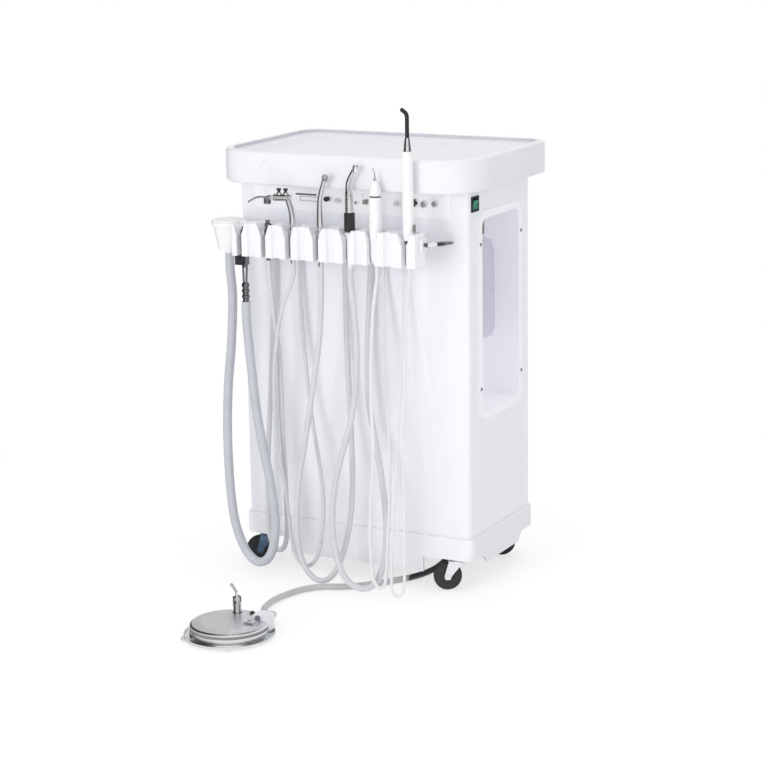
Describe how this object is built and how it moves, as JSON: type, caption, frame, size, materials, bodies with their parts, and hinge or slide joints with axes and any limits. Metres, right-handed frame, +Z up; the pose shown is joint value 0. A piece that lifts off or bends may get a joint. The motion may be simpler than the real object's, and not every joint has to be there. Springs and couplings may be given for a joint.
{
  "type": "portable dental unit",
  "caption": "Dental delivery cart: white cabinet on casters under a moulded tray top, with a front row of handpieces on looped hoses, side water bottle and a foot control.",
  "frame": {"origin": "on the floor under the middle of the worktop", "axes": "+Z up, the front with the instruments faces -Y, +X to the right seen from the front"},
  "size_m": [0.5, 0.738, 0.8475],
  "materials": {
    "white_moulding": "high gloss white moulding",
    "white_steel": "satin white powder coat",
    "chrome": "polished chrome",
    "brushed_steel": "brushed",
    "black_plastic": "satin black",
    "grey_plastic": "satin grey",
    "green_plastic": "glossy green",
    "clear_plastic": "clear plastic",
    "hose_rubber": "satin grey vinyl",
    "cord_white": "satin white vinyl",
    "tyre_rubber": "matt black",
    "zinc": "zinc plated",
    "cast_alloy": "cast"
  },
  "bodies": {
    "cart": {"worktop": "white_moulding", "cabinet_shell": "white_steel", "control_strip": "white_moulding", "back_panel": "white_steel", "base_tray": "white_moulding", "chassis": "zinc", "side_pocket": "white_moulding", "pocket_screws": "chrome", "switch_frame": "black_plastic", "holder_bar": "white_moulding", "holder_arms": "chrome", "hose_ports": "white_moulding", "quick_connects": "chrome", "power_inlet": "black_plastic", "compressor": "cast_alloy", "air_tank": "cast_alloy", "waste_bottle": "clear_plastic", "valve_manifold": "cast_alloy", "collector_cup": "white_moulding", "foot_base": "brushed_steel", "instrument_hoses": "hose_rubber", "instrument_cords": "cord_white", "foot_hose": "hose_rubber"},
    "bottle": {"water_bottle": "clear_plastic"},
    "rocker": {"switch_rocker": "green_plastic"},
    "water_control": {"water_knob": "black_plastic"},
    "air_control": {"air_knob": "grey_plastic"},
    "scaler_control": {"scaler_knob": "black_plastic"},
    "light_control": {"light_knob": "grey_plastic"},
    "toggle": {"toggle_switch": "black_plastic"},
    "push_button": {"panel_button": "black_plastic"},
    "fork_front_left": {"fork_fl": "chrome"},
    "fork_front_right": {"fork_fr": "chrome"},
    "fork_rear_left": {"fork_rl": "chrome"},
    "fork_rear_right": {"fork_rr": "chrome"},
    "wheel_front_left": {"wheel_fl": "tyre_rubber"},
    "wheel_front_right": {"wheel_fr": "tyre_rubber"},
    "wheel_rear_left": {"wheel_rl": "tyre_rubber"},
    "wheel_rear_right": {"wheel_rr": "tyre_rubber"},
    "collector_cap": {"collector_lid": "white_moulding"},
    "suction": {"suction_valve": "chrome"},
    "suction_thumb": {"suction_lever": "chrome"},
    "saliva": {"saliva_valve": "chrome", "saliva_tip": "clear_plastic"},
    "syringe": {"syringe_body": "chrome"},
    "nozzle": {"syringe_nozzle": "chrome"},
    "air_button": {"syringe_air_button": "black_plastic"},
    "water_button": {"syringe_water_button": "black_plastic"},
    "turbine": {"turbine_handpiece": "chrome"},
    "motor": {"slow_motor": "white_moulding", "contra_angle": "chrome"},
    "reverse_collar": {"motor_collar": "black_plastic"},
    "scaler": {"scaler_body": "white_moulding", "scaler_tip": "brushed_steel"},
    "light": {"light_body": "white_moulding"},
    "guide": {"light_guide": "black_plastic"},
    "light_switch": {"light_button": "black_plastic"},
    "treadle": {"foot_disc": "brushed_steel"},
    "foot_push": {"foot_button": "black_plastic"},
    "foot_lever": {"foot_toggle": "chrome"}
  },
  "joints": [
    {"name": "bottle_lift", "type": "slide", "parent": "cart", "child": "bottle", "axis": [0, 0, -1], "range_m": [0, 0.05]},
    {"name": "rocker_tilt", "type": "hinge", "parent": "cart", "child": "rocker", "pos_m": [0.219, -0.09, 0.679], "axis": [0, -1, 0], "range_deg": [0, 16]},
    {"name": "water_turn", "type": "hinge", "parent": "cart", "child": "water_control", "pos_m": [-0.0425, -0.118, 0.678], "axis": [0, -1, 0], "range_deg": [-135, 135]},
    {"name": "air_turn", "type": "hinge", "parent": "cart", "child": "air_control", "pos_m": [-0.023, -0.118, 0.676], "axis": [0, -1, 0], "range_deg": [-135, 135]},
    {"name": "scaler_turn", "type": "hinge", "parent": "cart", "child": "scaler_control", "pos_m": [0.033, -0.118, 0.677], "axis": [0, -1, 0], "range_deg": [-135, 135]},
    {"name": "light_turn", "type": "hinge", "parent": "cart", "child": "light_control", "pos_m": [0.091, -0.118, 0.677], "axis": [0, -1, 0], "range_deg": [-135, 135]},
    {"name": "toggle_flip", "type": "hinge", "parent": "cart", "child": "toggle", "pos_m": [0.125, -0.115, 0.679], "axis": [1, 0, 0], "range_deg": [0, 16]},
    {"name": "panel_push", "type": "slide", "parent": "cart", "child": "push_button", "axis": [0, 1, 0], "range_m": [0, 0.002], "stiffness_N_per_m": 300},
    {"name": "swivel_front_left", "type": "hinge", "parent": "cart", "child": "fork_front_left", "pos_m": [-0.19, -0.104, 0.054], "axis": [0, 0, 1], "continuous": true},
    {"name": "roll_front_left", "type": "hinge", "parent": "fork_front_left", "child": "wheel_front_left", "pos_m": [-0.20413, -0.11151, 0.025], "axis": [0.4695, -0.8829, 0], "continuous": true},
    {"name": "swivel_front_right", "type": "hinge", "parent": "cart", "child": "fork_front_right", "pos_m": [0.19, -0.104, 0.054], "axis": [0, 0, 1], "continuous": true},
    {"name": "roll_front_right", "type": "hinge", "parent": "fork_front_right", "child": "wheel_front_right", "pos_m": [0.17587, -0.11151, 0.025], "axis": [0.4695, -0.8829, 0], "continuous": true},
    {"name": "swivel_rear_left", "type": "hinge", "parent": "cart", "child": "fork_rear_left", "pos_m": [-0.19, 0.122, 0.054], "axis": [0, 0, 1], "continuous": true},
    {"name": "roll_rear_left", "type": "hinge", "parent": "fork_rear_left", "child": "wheel_rear_left", "pos_m": [-0.19278, 0.10624, 0.025], "axis": [0.9848, -0.1736, 0], "continuous": true},
    {"name": "swivel_rear_right", "type": "hinge", "parent": "cart", "child": "fork_rear_right", "pos_m": [0.19, 0.122, 0.054], "axis": [0, 0, 1], "continuous": true},
    {"name": "roll_rear_right", "type": "hinge", "parent": "fork_rear_right", "child": "wheel_rear_right", "pos_m": [0.17774, 0.11171, 0.025], "axis": [0.6428, -0.766, 0], "continuous": true},
    {"name": "collector_lid_lift", "type": "slide", "parent": "cart", "child": "collector_cap", "axis": [0, 0, 1], "range_m": [0, 0.03]},
    {"name": "suction_out", "type": "slide", "parent": "cart", "child": "suction", "axis": [0, -1, 0], "range_m": [0, 0.06]},
    {"name": "suction_lever_turn", "type": "hinge", "parent": "suction", "child": "suction_thumb", "pos_m": [-0.181, -0.189, 0.574], "axis": [0, -1, 0], "range_deg": [0, 90]},
    {"name": "saliva_lift", "type": "slide", "parent": "cart", "child": "saliva", "axis": [0, 0, 1], "range_m": [0, 0.036]},
    {"name": "syringe_lift", "type": "slide", "parent": "cart", "child": "syringe", "axis": [0, 0, 1], "range_m": [0, 0.06]},
    {"name": "nozzle_spin", "type": "hinge", "parent": "syringe", "child": "nozzle", "pos_m": [-0.11144, -0.19542, 0.687], "axis": [-0.9848, -0.1736, 0], "continuous": true},
    {"name": "air_press", "type": "slide", "parent": "syringe", "child": "air_button", "axis": [0, 0, -1], "range_m": [0, 0.003], "stiffness_N_per_m": 400, "springref_m": -0.001},
    {"name": "water_press", "type": "slide", "parent": "syringe", "child": "water_button", "axis": [0, 0, -1], "range_m": [0, 0.003], "stiffness_N_per_m": 400, "springref_m": -0.001},
    {"name": "turbine_lift", "type": "slide", "parent": "cart", "child": "turbine", "axis": [0, 0, 1], "range_m": [0, 0.06]},
    {"name": "motor_lift", "type": "slide", "parent": "cart", "child": "motor", "axis": [0, 0, 1], "range_m": [0, 0.06]},
    {"name": "collar_turn", "type": "hinge", "parent": "motor", "child": "reverse_collar", "pos_m": [0.036, -0.189, 0.65], "axis": [0, 0, 1], "range_deg": [-30, 30]},
    {"name": "scaler_lift", "type": "slide", "parent": "cart", "child": "scaler", "axis": [0, 0, 1], "range_m": [0, 0.06]},
    {"name": "light_lift", "type": "slide", "parent": "cart", "child": "light", "axis": [0, 0, 1], "range_m": [0, 0.06]},
    {"name": "guide_spin", "type": "hinge", "parent": "light", "child": "guide", "pos_m": [0.147, -0.189, 0.79], "axis": [0, 0, 1], "continuous": true},
    {"name": "light_press", "type": "slide", "parent": "light", "child": "light_switch", "axis": [-1, 0, 0], "range_m": [0, 0.001], "stiffness_N_per_m": 500},
    {"name": "treadle_press", "type": "slide", "parent": "cart", "child": "treadle", "axis": [0, 0, -1], "range_m": [0, 0.003], "stiffness_N_per_m": 4000, "springref_m": -0.003},
    {"name": "foot_button_press", "type": "slide", "parent": "cart", "child": "foot_push", "axis": [0, 0, -1], "range_m": [0, 0.003], "stiffness_N_per_m": 300, "springref_m": -0.001},
    {"name": "foot_lever_turn", "type": "hinge", "parent": "cart", "child": "foot_lever", "pos_m": [-0.052, -0.444, 0.047], "axis": [0, 1, 0], "range_deg": [-20, 20]}
  ]
}
